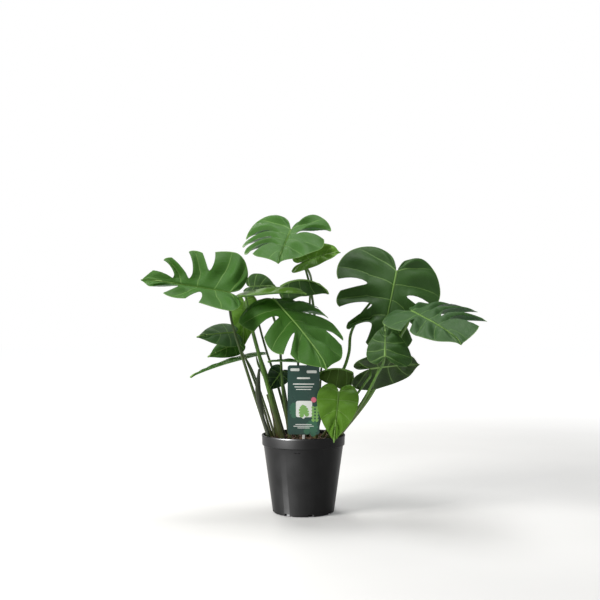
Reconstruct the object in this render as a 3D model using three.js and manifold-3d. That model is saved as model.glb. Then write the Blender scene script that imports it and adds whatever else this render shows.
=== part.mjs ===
// Potted monstera: a split-leaf plant in a round black nursery pot with a plant label.
// Millimetres, +Z up, the front of the plant towards -Y, origin at the centre of the pot's underside.
import * as THREE from "three";
import Module from "manifold-3d";

// ---------- driving dimensions ----------

// Pot: a thin tapered wall with an outset band under the rim and drainage slots round the base.
const POT_HEIGHT = 156;
const RIM_RADIUS = 85;
const BAND_HEIGHT = 21;
const BAND_STEP = 3;
const RIM_FLARE = 1;
const BASE_RADIUS = 62.5;
const WALL = 1.8;
const FLOOR = 3;
const DRAIN_SLOTS = 8;
const DRAIN_WIDTH = 12;
const DRAIN_HEIGHT = 5;
const ROUND_STEPS = 48;

// Soil
const SOIL_BELOW_RIM = 10;
const GAP = 0.4;

// Label: a card on a stake that is pushed into the soil.
const CARD_WIDTH = 63;
const CARD_HEIGHT = 136;
const CARD_CORNER = 5;
const CARD_THICK = 0.8;
const CARD_ABOVE_SOIL = 17;
const CARD_FROM_RIM = 19;
const STAKE_WIDTH = 5;
const STAKE_THICK = 2;
const STAKE_DEPTH = 54;

// Leaves
const LEAF_THICK = 0.9;
const LEAF_ROWS = 6;
const PETIOLE_SIDES = 8;
const PETIOLE_STEPS = 11;

// Places that follow from the sizes above.
const BAND_BOTTOM = POT_HEIGHT - BAND_HEIGHT;
const WALL_TOP_RADIUS = RIM_RADIUS - RIM_FLARE - BAND_STEP;
const SOIL_TOP = POT_HEIGHT - SOIL_BELOW_RIM;
const SOIL_RADIUS = WALL_TOP_RADIUS + BAND_STEP - WALL - 5;
const CARD_BOTTOM = SOIL_TOP + CARD_ABOVE_SOIL;
const CARD_Y = CARD_FROM_RIM - RIM_RADIUS;
const STAKE_BOTTOM = SOIL_TOP - STAKE_DEPTH;

// Half outline of a leaf one unit long, from the notch at the stalk round to the tip.
const BROAD = [
  [0.012, -0.045], [0.08, -0.25], [0.26, -0.38], [0.46, -0.28], [0.565, -0.02],
  [0.55, 0.28], [0.46, 0.6], [0.29, 0.83], [0.08, 0.95], [0, 1],
];
const HEART = [
  [0.018, -0.04], [0.08, -0.12], [0.21, -0.16], [0.34, -0.06], [0.41, 0.14],
  [0.37, 0.4], [0.25, 0.66], [0.1, 0.86], [0.03, 0.95], [0, 1],
];
// Where the side veins part the margin, as shares of the outline.
const VEINS = [0.22, 0.4, 0.56, 0.71, 0.84];

// One row for each leaf: where the stalk joins and where the tip is, with heights from the top of
// the soil, the way the upper face looks,
// the droop along the midrib, and for each half its fold at the midrib, its curl towards the
// margin, its width, how far the lobe reaches back and how much it lifts, and its slots, each as
// [place on the outline, how far from the midrib it starts, half its gap].
const LEAVES = {
  top: {
    outline: BROAD, joint: [-26, 30, 431], tip: [-49, -130, 354], face: [-0.05, -0.35, 0.94],
    droop: 0.1,
    left: {
      fold: 0.12, curl: 1, lobe: 0.3,
      slots: [[0.49, 0.4, 0.035], [0.62, 0.3, 0.026], [0.72, 0.35, 0.026]],
    },
    right: { fold: 0.15, curl: 1, lobe: 0.22, wide: 0.85, slots: [[0.5, 0.2, 0.08]] },
  },
  crest: {
    outline: BROAD, joint: [-1, 10, 362], tip: [74, -30, 380], face: [0, -0.5, 0.87], droop: 0.2,
    left: { fold: -0.05, curl: 0.5, wide: 0.7, back: 0.7 },
    right: { fold: 0.9, curl: 0.2, wide: 0.7, back: 0.7 },
  },
  left: {
    outline: BROAD, joint: [-148, -30, 297], tip: [-325, -45, 324], face: [0.117, -0.86, 0.478],
    droop: 0.15,
    left: { curl: 0.1, back: 0.45, slots: [[0.57, 0.42, 0.035], [0.69, 0.2, 0.055], [0.81, 0.25, 0.055]] },
    right: { fold: 0.75, curl: 0.1, back: 0.3, slots: [[0.6, 0.4, 0.035], [0.76, 0.25, 0.055]] },
  },
  band: {
    outline: BROAD, joint: [-117, -20, 289], tip: [5, -60, 296], face: [0, -0.05, 1], droop: 0.2,
    left: { fold: 0.12, curl: 0.2, wide: 0.6, back: 0.1 },
    right: { fold: 0.4, curl: 0.3, wide: 0.7, back: 0.7 },
  },
  front: {
    outline: BROAD, joint: [-62, -20, 285], tip: [45, -165, 154], face: [0.4, -0.44, 0.81],
    droop: 0.25,
    left: { fold: -0.35, curl: 2, wide: 0.65, back: 0.2, slots: [[0.57, 0.3, 0.035], [0.72, 0.35, 0.02]] },
    right: { curl: 0.2, back: 0.1, slots: [[0.47, 0.6, 0.01], [0.56, 0.32, 0.035], [0.7, 0.55, 0.03]] },
  },
  dome: {
    outline: BROAD, joint: [-47, 48, 312], tip: [53, 20, 298], face: [0, -0.1, 1], droop: 1.5,
    left: { fold: -1, curl: 0.4, wide: 0.6, back: 0.3 },
    right: { fold: -0.4, curl: 0.4, wide: 0.3, back: 0.3 },
  },
  right: {
    outline: BROAD, joint: [201, 88, 348], tip: [155, 6, 167], face: [0, -1, 0.45], droop: 0.45,
    left: {
      fold: 0.05, curl: 0.5, wide: 1.1, back: 0.9,
      slots: [[0.56, 0.45, 0.04], [0.69, 0.35, 0.05], [0.8, 0.45, 0.06]],
    },
    right: { fold: -0.1, curl: 1, wide: 0.95, back: 0.9, slots: [[0.58, 0.3, 0.04], [0.72, 0.4, 0.03]] },
  },
  far: {
    outline: BROAD, joint: [217, -30, 260], tip: [282, -230, 203], face: [0, -0.25, 0.97], droop: 0.2,
    left: { fold: -0.1, curl: 1.5, wide: 0.5, back: 0.5, slots: [[0.6, 0.5, 0.03]] },
    right: {
      fold: 0.2, curl: 0.6, back: 0.8,
      slots: [[0.5, 0.36, 0.045], [0.61, 0.22, 0.065], [0.73, 0.28, 0.065]],
    },
  },
  shield: {
    outline: HEART, joint: [154, -135, 173], tip: [161, -64, 233], face: [0, -0.6, 0.8], droop: 0.3,
    left: { fold: -0.1, curl: 1, wide: 1.5 },
    right: { fold: -0.1, curl: 1, wide: 0.95 },
  },
  olive: {
    outline: BROAD, joint: [131, -60, 145], tip: [231, -40, 154], face: [0, 0.8, 0.6], droop: 0.2,
    left: { fold: -0.1, curl: 0.4, wide: 0.8 },
    right: { fold: -0.1, curl: 0.4, wide: 0.8 },
  },
  arch: {
    outline: BROAD, joint: [98, -35, 135], tip: [22, -48, 129], face: [0, -0.1, 1], droop: 1.2,
    left: { fold: -0.4, wide: 0.9, back: 0.3 },
    right: { fold: -0.9, wide: 0.9, back: 0.3 },
  },
  bright: {
    outline: HEART, joint: [69, CARD_Y - 9, 101], tip: [58, CARD_Y - 44, 8], face: [-0.1, -1, 0.1],
    droop: 0.3,
    left: { fold: 0.25 },
    right: { fold: 0.25 },
  },
  spear: {
    outline: HEART, joint: [-98, 26, 168], tip: [-232, 0, 128], face: [0, -0.1, 1], droop: 0.2,
    left: { fold: 0.25, curl: 0.3, wide: 0.5 },
    right: { fold: 0.25, curl: 0.3, wide: 0.5 },
  },
  silver: {
    outline: HEART, joint: [-144, 30, 216], tip: [-218, 0, 208], face: [0, -0.7, 0.7], droop: 0.2,
    left: { wide: 1.1 },
    right: { wide: 1.1 },
  },
  under: {
    outline: HEART, joint: [-138, 50, 194], tip: [-198, 30, 166], face: [-0.3, -0.9, 0.4], droop: 0.2,
    left: { wide: 0.9 },
    right: { wide: 0.9 },
  },
  glow: {
    outline: HEART, joint: [-126, 78, 281], tip: [-126, 60, 186], face: [-0.2, -1, 0.3], droop: 0.3,
    left: { fold: 0.2, wide: 0.8 },
    right: { fold: 0.2, wide: 0.8 },
  },
  dark: {
    outline: HEART, joint: [-44, 34, 137], tip: [-72, 16, 97], face: [0, -1, 0.2], droop: 0.3,
    left: { fold: 0.1, wide: 1.1 },
    right: { fold: 0.1, wide: 1.1 },
  },
  sill: {
    outline: HEART, joint: [37, -30, 154], tip: [-72, -10, 159], face: [0, -0.1, 1], droop: 0.2,
    left: { fold: 0.2, wide: 0.6 },
    right: { fold: 0.2, wide: 0.6 },
  },
  back: {
    outline: HEART, joint: [-115, 90, 314], tip: [-56, 70, 313], face: [0, -0.4, 0.9], droop: 0.2,
    left: { wide: 1.1 },
    right: { fold: 0.9, wide: 1.3 },
  },
};

// One row for each petiole, the leaf's stalk: where it leaves the soil, in shares of the soil's
// radius, the places it passes on its way up, with heights from the top of the soil, and its
// radius half way.
const PETIOLES = {
  top: { root: [-0.013, 0.155], via: [[25, 44, 180], [20, 72, 284], [1, 54, 361]], radius: 2.8 },
  crest: { root: [-0.181, 0.052], via: [[13, 46, 180], [14, 88, 284], [17, 66, 330]], radius: 2.6 },
  left: { root: [-0.881, -0.285], via: [[-98, -22, 89], [-128, -22, 182], [-146, -20, 242]], radius: 2.9 },
  band: { root: [-0.557, -0.13], via: [[-62, 0, 69], [-85, 0, 150], [-109, -8, 242]], radius: 4.2 },
  front: { root: [-0.35, -0.195], via: [[-42, 2, 99], [-50, 12, 201]], radius: 2.8 },
  dome: { root: [-0.181, 0.415], via: [[-14, 52, 201]], radius: 2.5 },
  right: {
    root: [0.311, 0.065], via: [[44, 10, 78], [90, 20, 156], [102, 45, 222], [150, 95, 286]],
    radius: 3.2,
  },
  far: { root: [0.8, -0.233], via: [[RIM_RADIUS + 49, -24, 92], [176, -30, 174], [206, -18, 230]], radius: 5 },
  shield: { root: [0.751, -0.492], via: [[RIM_RADIUS + 27, -66, 75], [142, -108, 138]], radius: 2.8 },
  olive: { root: [0.622, -0.104], via: [[106, -48, 94]], radius: 2.7 },
  arch: { root: [0.492, 0.181], via: [[84, -16, 80]], radius: 2.5 },
  bright: { root: [0.57, -0.57], via: [[72, -52, 59]], radius: 2.8 },
  spear: { root: [-0.648, 0.44], via: [[-68, 32, 89]], radius: 2.4 },
  silver: { root: [-0.816, 0.026], via: [[-93, -6, 99], [-120, -8, 168]], radius: 2.1 },
  under: { root: [-0.751, 0.259], via: [[-81, 42, 67], [-112, 68, 144]], radius: 2.1 },
  glow: { root: [-0.518, 0.596], via: [[-74, 56, 118], [-108, 90, 211]], radius: 2.5 },
  dark: { root: [-0.363, 0.181], via: [[-36, 38, 79]], radius: 2.2 },
  sill: { root: [0.104, 0.311], via: [[32, -6, 90]], radius: 2.4 },
  back: { root: [-0.337, 0.751], via: [[-55, 66, 107], [-83, 84, 190]], radius: 2.5 },
};

// Other growth from the soil, given in the same way, with the radius at each point.
const GROWTH = {
  crown: { root: [-0.648, 0.142], via: [[-58, 11, 44], [-74, 14, 90]], radii: [8, 6.5, 3] },
  rolled_leaf: {
    root: [-0.855, -0.402], via: [[-84, -36, 59], [-91, -36, 104], [-89, -36, 144]], radii: [3, 3, 6, 2],
  },
};

// ---------- finishes ----------

function finish(colour, roughness) {
  return new THREE.MeshStandardMaterial({ color: colour, roughness: roughness, metalness: 0 });
}

const FINISH = {
  pot: finish(0x1c1c1f, 0.42),
  soil: finish(0x2a1d14, 0.95),
  leaf: finish(0x2f6a26, 0.4),
  stalk: finish(0x5b7a34, 0.5),
  card: finish(0x1f4a3a, 0.45),
  stake: finish(0xf2f2ee, 0.4),
};

// ---------- closed surfaces ----------

const UP = new THREE.Vector3(0, 0, 1);

// Corners closer than a micron are one corner, and a triangle that has lost a side is left out.
function weld(triangles) {
  const corners = [];
  const places = new Map();
  const faces = [];
  for (const triangle of triangles) {
    const face = triangle.map((corner) => {
      const key = corner.toArray().map((v) => Math.round(v * 1000)).join(" ");
      if (!places.has(key)) {
        places.set(key, corners.length);
        corners.push(corner);
      }
      return places.get(key);
    });
    if (new Set(face).size === 3) {
      faces.push(face);
    }
  }
  return { corners, faces };
}

function geometryOf({ corners, faces }) {
  const geometry = new THREE.BufferGeometry();
  const places = corners.flatMap((corner) => corner.toArray());
  geometry.setAttribute("position", new THREE.Float32BufferAttribute(places, 3));
  geometry.setIndex(faces.flat());
  geometry.computeVertexNormals();
  return geometry;
}

// Two triangles for each cell of a grid of points.
function cells(grid) {
  const triangles = [];
  for (let i = 0; i + 1 < grid.length; i += 1) {
    for (let j = 0; j + 1 < grid[i].length; j += 1) {
      const [a, b] = [grid[i][j], grid[i + 1][j]];
      const [c, d] = [grid[i + 1][j + 1], grid[i][j + 1]];
      triangles.push([a, b, c], [a, c, d]);
    }
  }
  return triangles;
}

// A sheet given as triangles becomes a closed leaf: two faces and a wall along every open edge.
function thicken(triangles, thickness) {
  const { corners, faces } = weld(triangles);
  const normals = corners.map(() => new THREE.Vector3());
  const sides = new Map();
  for (const face of faces) {
    const [a, b, c] = face.map((i) => corners[i]);
    const normal = b.clone().sub(a).cross(c.clone().sub(a));
    for (let k = 0; k < 3; k += 1) {
      normals[face[k]].add(normal);
      const [from, to] = [face[k], face[(k + 1) % 3]];
      const back = to + " " + from;
      if (sides.has(back)) {
        sides.delete(back);
      } else {
        sides.set(from + " " + to, [from, to]);
      }
    }
  }
  normals.forEach((normal) => normal.normalize());
  const shifted = (share) =>
    corners.map((corner, i) => corner.clone().addScaledVector(normals[i], share * thickness));
  const upper = shifted(0.5);
  const lower = shifted(-0.5);
  const count = corners.length;
  const closed = faces.map((face) => [...face]);
  for (const [a, b, c] of faces) {
    closed.push([c + count, b + count, a + count]);
  }
  for (const [from, to] of sides.values()) {
    closed.push([to, from, from + count], [to, from + count, to + count]);
  }
  return geometryOf({ corners: [...upper, ...lower], faces: closed });
}

// A solid of revolution about Z, its profile running from the axis back to the axis.
function turned(profile) {
  const rings = [];
  for (let i = 0; i <= ROUND_STEPS; i += 1) {
    const angle = (2 * Math.PI * (i % ROUND_STEPS)) / ROUND_STEPS;
    rings.push(profile.map(([r, z]) => new THREE.Vector3(r * Math.cos(angle), r * Math.sin(angle), z)));
  }
  return geometryOf(weld(cells(rings)));
}

// A closed tube along a curve, its radius given at each share of the length. Its first ring lies
// level on the soil, and its last ring can be turned square to a given direction.
function tube(curve, radiusAt, sides, steps, endNormal) {
  const frames = curve.computeFrenetFrames(steps, false);
  const rings = [];
  for (let i = 0; i <= steps; i += 1) {
    const share = i / steps;
    const centre = curve.getPointAt(share);
    let [across, over] = [frames.normals[i].clone(), frames.binormals[i].clone()];
    const square = i === 0 ? UP : i === steps ? endNormal : undefined;
    if (square) {
      across.addScaledVector(square, -across.dot(square)).normalize();
      over = square.clone().cross(across);
    }
    const ring = [];
    for (let k = 0; k <= sides; k += 1) {
      const angle = (2 * Math.PI * (k % sides)) / sides;
      const point = centre.clone();
      point.addScaledVector(across, radiusAt(share) * Math.cos(angle));
      point.addScaledVector(over, radiusAt(share) * Math.sin(angle));
      ring.push(point);
    }
    rings.push(ring);
  }
  const triangles = cells(rings).map(([a, b, c]) => [c, b, a]);
  const cap = (ring, flip) => {
    const centre = ring.slice(1).reduce((sum, p) => sum.add(p), new THREE.Vector3()).divideScalar(sides);
    for (let k = 0; k < sides; k += 1) {
      triangles.push(flip ? [centre, ring[k + 1], ring[k]] : [centre, ring[k], ring[k + 1]]);
    }
  };
  cap(rings[0], true);
  cap(rings[steps], false);
  return geometryOf(weld(triangles));
}

// ---------- leaves ----------

function eased(x) {
  const share = THREE.MathUtils.clamp(x, 0, 1);
  return share * share * (3 - 2 * share);
}

function aboveSoil([x, y, z]) {
  return new THREE.Vector3(x, y, SOIL_TOP + z);
}

// Where something grows out of the soil.
function rootPlace([x, y]) {
  return aboveSoil([x * SOIL_RADIUS, y * SOIL_RADIUS, GAP]);
}

// The leaf's own axes at the joint: along the midrib, out of the upper face, and to its right.
function leafAxes(leaf) {
  const joint = aboveSoil(leaf.joint);
  const chord = aboveSoil(leaf.tip).sub(joint);
  const span = chord.length();
  chord.normalize();
  const face = new THREE.Vector3(...leaf.face);
  face.addScaledVector(chord, -face.dot(chord)).normalize();
  const half = leaf.droop / 2;
  const along = chord.clone().multiplyScalar(Math.cos(half)).addScaledVector(face, Math.sin(half));
  const out = face.clone().multiplyScalar(Math.cos(half)).addScaledVector(chord, -Math.sin(half));
  const right = out.clone().cross(along);
  return { joint, along, out, right, length: (span * half) / Math.sin(half) };
}

function halfOf(leaf, side) {
  const given = side < 0 ? leaf.left : leaf.right;
  return { fold: 0, curl: 0.5, wide: 1, back: 1, lobe: 0, slots: [], ...given };
}

// Each slot takes the place of the vein nearest to it.
function marginPlaces(half) {
  const ends = [0, ...VEINS, 1];
  const slots = new Map();
  for (const [at, start, gap] of half.slots) {
    const free = VEINS.map((_, k) => k + 1).filter((k) => !slots.has(k));
    free.sort((a, b) => Math.abs(VEINS[a - 1] - at) - Math.abs(VEINS[b - 1] - at));
    slots.set(free[0], { start, gap });
    ends[free[0]] = at;
  }
  return { ends, slots };
}

// The flat place of a point of a half leaf: s runs round the outline, t from midrib to margin.
function flatPlace(leaf, half, s, t) {
  const outline = leaf.outline.map(([x, y]) => new THREE.Vector2(x, y));
  const margin = new THREE.SplineCurve(outline).getPoint(s);
  margin.x *= half.wide;
  margin.y *= margin.y < 0 ? half.back : 1;
  const foot = new THREE.Vector2(0, 0.84 * Math.pow(Math.max(0, (s - 0.3) / 0.7), 1.1));
  const run = margin.clone().sub(foot);
  const bow = 0.13 * (2 * eased(s / 0.45) - 1) * (1 - eased((s - 0.8) / 0.2));
  const middle = foot.clone().addScaledVector(run, 0.5);
  middle.add(new THREE.Vector2(run.y * bow, -run.x * bow));
  return new THREE.QuadraticBezierCurve(foot, middle, margin).getPoint(t);
}

// The flat place bent into the leaf's real shape.
function bent(leaf, axes, half, side, flat, t, across) {
  const { fold, curl } = half;
  let sideways = (Math.sin(fold) - Math.sin(fold - curl * flat.x)) / curl;
  let height = (Math.cos(fold - curl * flat.x) - Math.cos(fold)) / curl;
  const away = eased(flat.length() / 0.3);
  height -= 0.012 * away * Math.cos(2 * Math.PI * (across - 0.5)) * Math.sin(Math.PI * t);
  height -= 0.08 * away * Math.pow(Math.max(0, t - 0.45), 2);
  height += half.lobe * Math.max(0, -flat.y);
  const turn = leaf.droop * flat.y;
  const forward = Math.sin(turn) / leaf.droop + height * Math.sin(turn);
  const rise = (Math.cos(turn) - 1) / leaf.droop + height * Math.cos(turn);
  return axes.joint
    .clone()
    .addScaledVector(axes.right, side * sideways * axes.length)
    .addScaledVector(axes.along, forward * axes.length)
    .addScaledVector(axes.out, rise * axes.length);
}

function slotOpening(slot, t) {
  if (!slot || t <= slot.start) {
    return 0;
  }
  const share = (t - slot.start) / (1 - slot.start);
  return slot.gap * Math.sqrt(share) * (1 - 0.25 * share);
}

function blade(leaf) {
  const axes = leafAxes(leaf);
  const hasSlots = halfOf(leaf, -1).slots.length + halfOf(leaf, 1).slots.length > 0;
  const columns = hasSlots ? 2 : 1;
  const rows = hasSlots ? LEAF_ROWS : LEAF_ROWS - 1;
  const triangles = [];
  for (const side of [-1, 1]) {
    const half = halfOf(leaf, side);
    const { ends, slots } = marginPlaces(half);
    const places = [0, ...VEINS, 1];
    for (let finger = 0; finger < 6; finger += 1) {
      const [before, after] = [slots.get(finger), slots.get(finger + 1)];
      const grid = [];
      for (let i = 0; i <= rows; i += 1) {
        const t = i / rows;
        const reach = eased(t / 0.35);
        const low = THREE.MathUtils.lerp(places[finger], ends[finger], reach) + slotOpening(before, t);
        const high = THREE.MathUtils.lerp(places[finger + 1], ends[finger + 1], reach) - slotOpening(after, t);
        const row = [];
        for (let j = 0; j <= columns; j += 1) {
          const across = j / columns;
          const s = THREE.MathUtils.lerp(low, high, across);
          let trim = 0;
          if (before) {
            trim += 0.1 * Math.pow(1 - across, 3) * eased((t - before.start) / (1 - before.start));
          }
          if (after) {
            trim += 0.05 * Math.pow(across, 4) * eased((t - after.start) / (1 - after.start));
          }
          const reachOut = t * (1 - trim);
          row.push(bent(leaf, axes, half, side, flatPlace(leaf, half, s, reachOut), reachOut, across));
        }
        grid.push(row);
      }
      const sheet = cells(grid);
      triangles.push(...(side < 0 ? sheet : sheet.map(([a, b, c]) => [c, b, a])));
    }
  }
  return thicken(triangles, LEAF_THICK);
}

// A petiole rises from the soil and meets its blade from beneath, square to the blade.
function petiole(name) {
  const { root, via, radius } = PETIOLES[name];
  const leaf = LEAVES[name];
  const axes = leafAxes(leaf);
  const roof = Math.max(0, -halfOf(leaf, -1).fold, -halfOf(leaf, 1).fold);
  const clear = LEAF_THICK / 2 + 0.6 + radius * roof;
  const below = (distance) => axes.joint.clone().addScaledVector(axes.out, -distance);
  const points = [
    rootPlace(root),
    ...via.map(aboveSoil),
    below(clear + 9),
    below(clear),
  ];
  const curve = new THREE.CatmullRomCurve3(points);
  const radiusAt = (share) => {
    const taper = 1.25 - 0.5 * share;
    const foot = 0.3 * Math.exp(-30 * share);
    const knee = 0.25 * Math.exp(-Math.pow((share - 0.93) / 0.035, 2));
    return radius * (taper + foot + knee) * (share > 0.99 ? 0.6 : 1);
  };
  return tube(curve, radiusAt, PETIOLE_SIDES, PETIOLE_STEPS, axes.out);
}

function growth({ root, via, radii }) {
  const curve = new THREE.CatmullRomCurve3([rootPlace(root), ...via.map(aboveSoil)]);
  const widths = new THREE.SplineCurve(radii.map((r, i) => new THREE.Vector2(i, r)));
  return tube(curve, (share) => widths.getPoint(share).y, 12, 10);
}

// ---------- pot, soil and label ----------

const wasm = await Module();
wasm.setup();
const { Manifold, CrossSection } = wasm;

function solidOf(geometry) {
  const source = weld(trianglesOf(geometry));
  return new Manifold(
    new wasm.Mesh({
      numProp: 3,
      vertProperties: new Float32Array(source.corners.flatMap((c) => c.toArray())),
      triVerts: new Uint32Array(source.faces.flat()),
    }),
  );
}

function trianglesOf(geometry) {
  const position = geometry.getAttribute("position");
  const corner = (i) => new THREE.Vector3().fromBufferAttribute(position, geometry.index.getX(i));
  const triangles = [];
  for (let i = 0; i < geometry.index.count; i += 3) {
    triangles.push([corner(i), corner(i + 1), corner(i + 2)]);
  }
  return triangles;
}

function geometryFrom(solid) {
  const made = solid.getMesh();
  const geometry = new THREE.BufferGeometry();
  geometry.setAttribute("position", new THREE.Float32BufferAttribute(made.vertProperties, 3));
  geometry.setIndex([...made.triVerts]);
  geometry.computeVertexNormals();
  return geometry;
}

function box(width, depth, height, x, y, z) {
  return Manifold.cube([width, depth, height], true).translate([x, y, z + height / 2]);
}

function pot() {
  const profile = [
    [0, 0],
    [BASE_RADIUS - 2, 0],
    [BASE_RADIUS, 2],
    [WALL_TOP_RADIUS, BAND_BOTTOM - 1],
    [WALL_TOP_RADIUS + BAND_STEP, BAND_BOTTOM + 1],
    [RIM_RADIUS - 0.5, POT_HEIGHT - 4],
    [RIM_RADIUS, POT_HEIGHT - 3],
    [RIM_RADIUS, POT_HEIGHT - 0.8],
    [RIM_RADIUS - 0.8, POT_HEIGHT],
    [RIM_RADIUS - WALL - 0.6, POT_HEIGHT],
    [WALL_TOP_RADIUS + BAND_STEP - WALL, BAND_BOTTOM + 2],
    [WALL_TOP_RADIUS - WALL, BAND_BOTTOM],
    [BASE_RADIUS - WALL, FLOOR],
    [0, FLOOR],
  ];
  let made = solidOf(turned(profile));
  for (let k = 0; k < DRAIN_SLOTS; k += 1) {
    const slot = box(9, DRAIN_WIDTH, DRAIN_HEIGHT + 2, BASE_RADIUS - 1.5, 0, -2);
    made = made.subtract(slot.rotate([0, 0, ((k + 0.3) * 360) / DRAIN_SLOTS]));
  }
  return geometryFrom(made);
}

function soil() {
  const profile = [
    [0, FLOOR + GAP],
    [BASE_RADIUS - WALL - 1.5 * GAP, FLOOR + GAP],
    [WALL_TOP_RADIUS - WALL - 1.5 * GAP, BAND_BOTTOM],
    [WALL_TOP_RADIUS + BAND_STEP - WALL - 1.5 * GAP, BAND_BOTTOM + 3],
    [WALL_TOP_RADIUS + BAND_STEP - WALL - 1.5 * GAP, SOIL_TOP - 3],
    [SOIL_RADIUS, SOIL_TOP],
    [0, SOIL_TOP],
  ];
  const [wide, deep] = [STAKE_WIDTH + 2 * GAP, STAKE_THICK + 2 * GAP];
  const hole = box(wide, deep, STAKE_DEPTH + 10, 0, stakeY(), STAKE_BOTTOM - GAP);
  return geometryFrom(solidOf(turned(profile)).subtract(hole));
}

function stakeY() {
  return CARD_Y + CARD_THICK / 2 + GAP + STAKE_THICK / 2;
}

function card() {
  const inner = CrossSection.square([CARD_WIDTH - 2 * CARD_CORNER, CARD_HEIGHT - 2 * CARD_CORNER], true);
  const outline = inner.offset(CARD_CORNER, "Round", 2, 24);
  const window = CrossSection.circle(STAKE_WIDTH / 2 + 0.5, 12).scale([1, 3]);
  const notch = CrossSection.square([STAKE_WIDTH + 1, 14], true);
  const cut = outline
    .subtract(window.translate([0, CARD_HEIGHT / 2 - 14]))
    .subtract(notch.translate([0, -CARD_HEIGHT / 2 + 4]));
  const flat = cut.extrude(CARD_THICK).rotate([90, 0, 0]);
  return geometryFrom(flat.translate([0, CARD_Y + CARD_THICK / 2, CARD_BOTTOM + CARD_HEIGHT / 2]));
}

function stake() {
  const height = CARD_BOTTOM + CARD_HEIGHT - 2 - STAKE_BOTTOM;
  const bar = box(STAKE_WIDTH, STAKE_THICK, height - 20, 0, 0, 20);
  const point = box(1.2, STAKE_THICK, 1, 0, 0, 0);
  return geometryFrom(Manifold.hull([bar, point]).translate([0, stakeY(), STAKE_BOTTOM]));
}

// ---------- assembly ----------

const plant = new THREE.Group();
plant.name = "potted_monstera";

function add(name, geometry, material) {
  const mesh = new THREE.Mesh(geometry, material);
  mesh.name = name;
  plant.add(mesh);
}

add("pot", pot(), FINISH.pot);
add("soil", soil(), FINISH.soil);
add("label_card", card(), FINISH.card);
add("label_stake", stake(), FINISH.stake);
for (const [name, leaf] of Object.entries(LEAVES)) {
  add("leaf_" + name, blade(leaf), FINISH.leaf);
  add("petiole_" + name, petiole(name), FINISH.stalk);
}
for (const [name, part] of Object.entries(GROWTH)) {
  add(name, growth(part), FINISH.stalk);
}

export default plant;
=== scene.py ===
import math
import random

import bmesh
import bpy
import numpy as np
from bpy.props import FloatProperty, FloatVectorProperty, IntProperty, PointerProperty
from mathutils import Matrix, Vector, noise


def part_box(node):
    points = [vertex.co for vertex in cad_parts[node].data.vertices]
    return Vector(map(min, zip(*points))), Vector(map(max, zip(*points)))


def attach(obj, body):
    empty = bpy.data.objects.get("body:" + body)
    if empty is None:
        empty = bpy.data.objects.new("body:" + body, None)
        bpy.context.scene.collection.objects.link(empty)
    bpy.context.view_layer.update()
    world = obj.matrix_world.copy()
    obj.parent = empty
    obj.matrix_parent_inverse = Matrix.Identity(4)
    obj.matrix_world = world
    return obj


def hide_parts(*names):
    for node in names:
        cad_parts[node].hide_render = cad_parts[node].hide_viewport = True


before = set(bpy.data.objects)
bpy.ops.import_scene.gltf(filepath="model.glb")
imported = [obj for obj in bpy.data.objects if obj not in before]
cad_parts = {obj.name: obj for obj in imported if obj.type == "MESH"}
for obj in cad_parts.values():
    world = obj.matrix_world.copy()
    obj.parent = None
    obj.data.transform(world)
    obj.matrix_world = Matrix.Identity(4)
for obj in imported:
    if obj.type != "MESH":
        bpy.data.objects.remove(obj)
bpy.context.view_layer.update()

bl_info = {
    "name": "Potted split-leaf plant",
    "version": (1, 0, 0),
    "blender": (4, 5, 0),
    "location": "View3D > Sidebar > Plant",
    "description": "Finishes a split-leaf plant in a nursery pot around its measured frame",
    "category": "Add Mesh",
}

MM = 0.001
FULL_TURN = 2 * math.pi
# Vertices closer than this are one vertex, in metres; a leaf's fingers meet a little less exactly.
MERGE = 1e-6
FINGER_MERGE = 3e-6


# ---------------------------------------------------------------- leaf shapes

# Half outline of a leaf one unit long, from the notch at the stalk round to the tip.
BROAD = [
    (0.012, -0.045), (0.08, -0.25), (0.26, -0.38), (0.46, -0.28), (0.565, -0.02),
    (0.55, 0.28), (0.46, 0.6), (0.29, 0.83), (0.08, 0.95), (0, 1),
]
HEART = [
    (0.018, -0.04), (0.08, -0.12), (0.21, -0.16), (0.34, -0.06), (0.41, 0.14),
    (0.37, 0.4), (0.25, 0.66), (0.1, 0.86), (0.03, 0.95), (0, 1),
]
# A finger is one rib's share of the margin. This is where one ends and the next begins.
BORDERS = (0.22, 0.4, 0.56, 0.71, 0.84)
FINGERS = len(BORDERS) + 1
LAST_FINGER = FINGERS - 1
# The node of a leaf with slots has this many rows of faces from midrib to margin, the others one
# fewer.
COARSE_ROWS = 6
# The ribs leave the midrib between the stalk and this share of its length.
LAST_RIB = 0.84
# The share of the way out by which a finger next to a slot has taken its place.
SETTLED = 0.35
# How high the node's skin waves between its ribs, for a leaf one unit long.
SKIN_WAVE = 0.012

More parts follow.
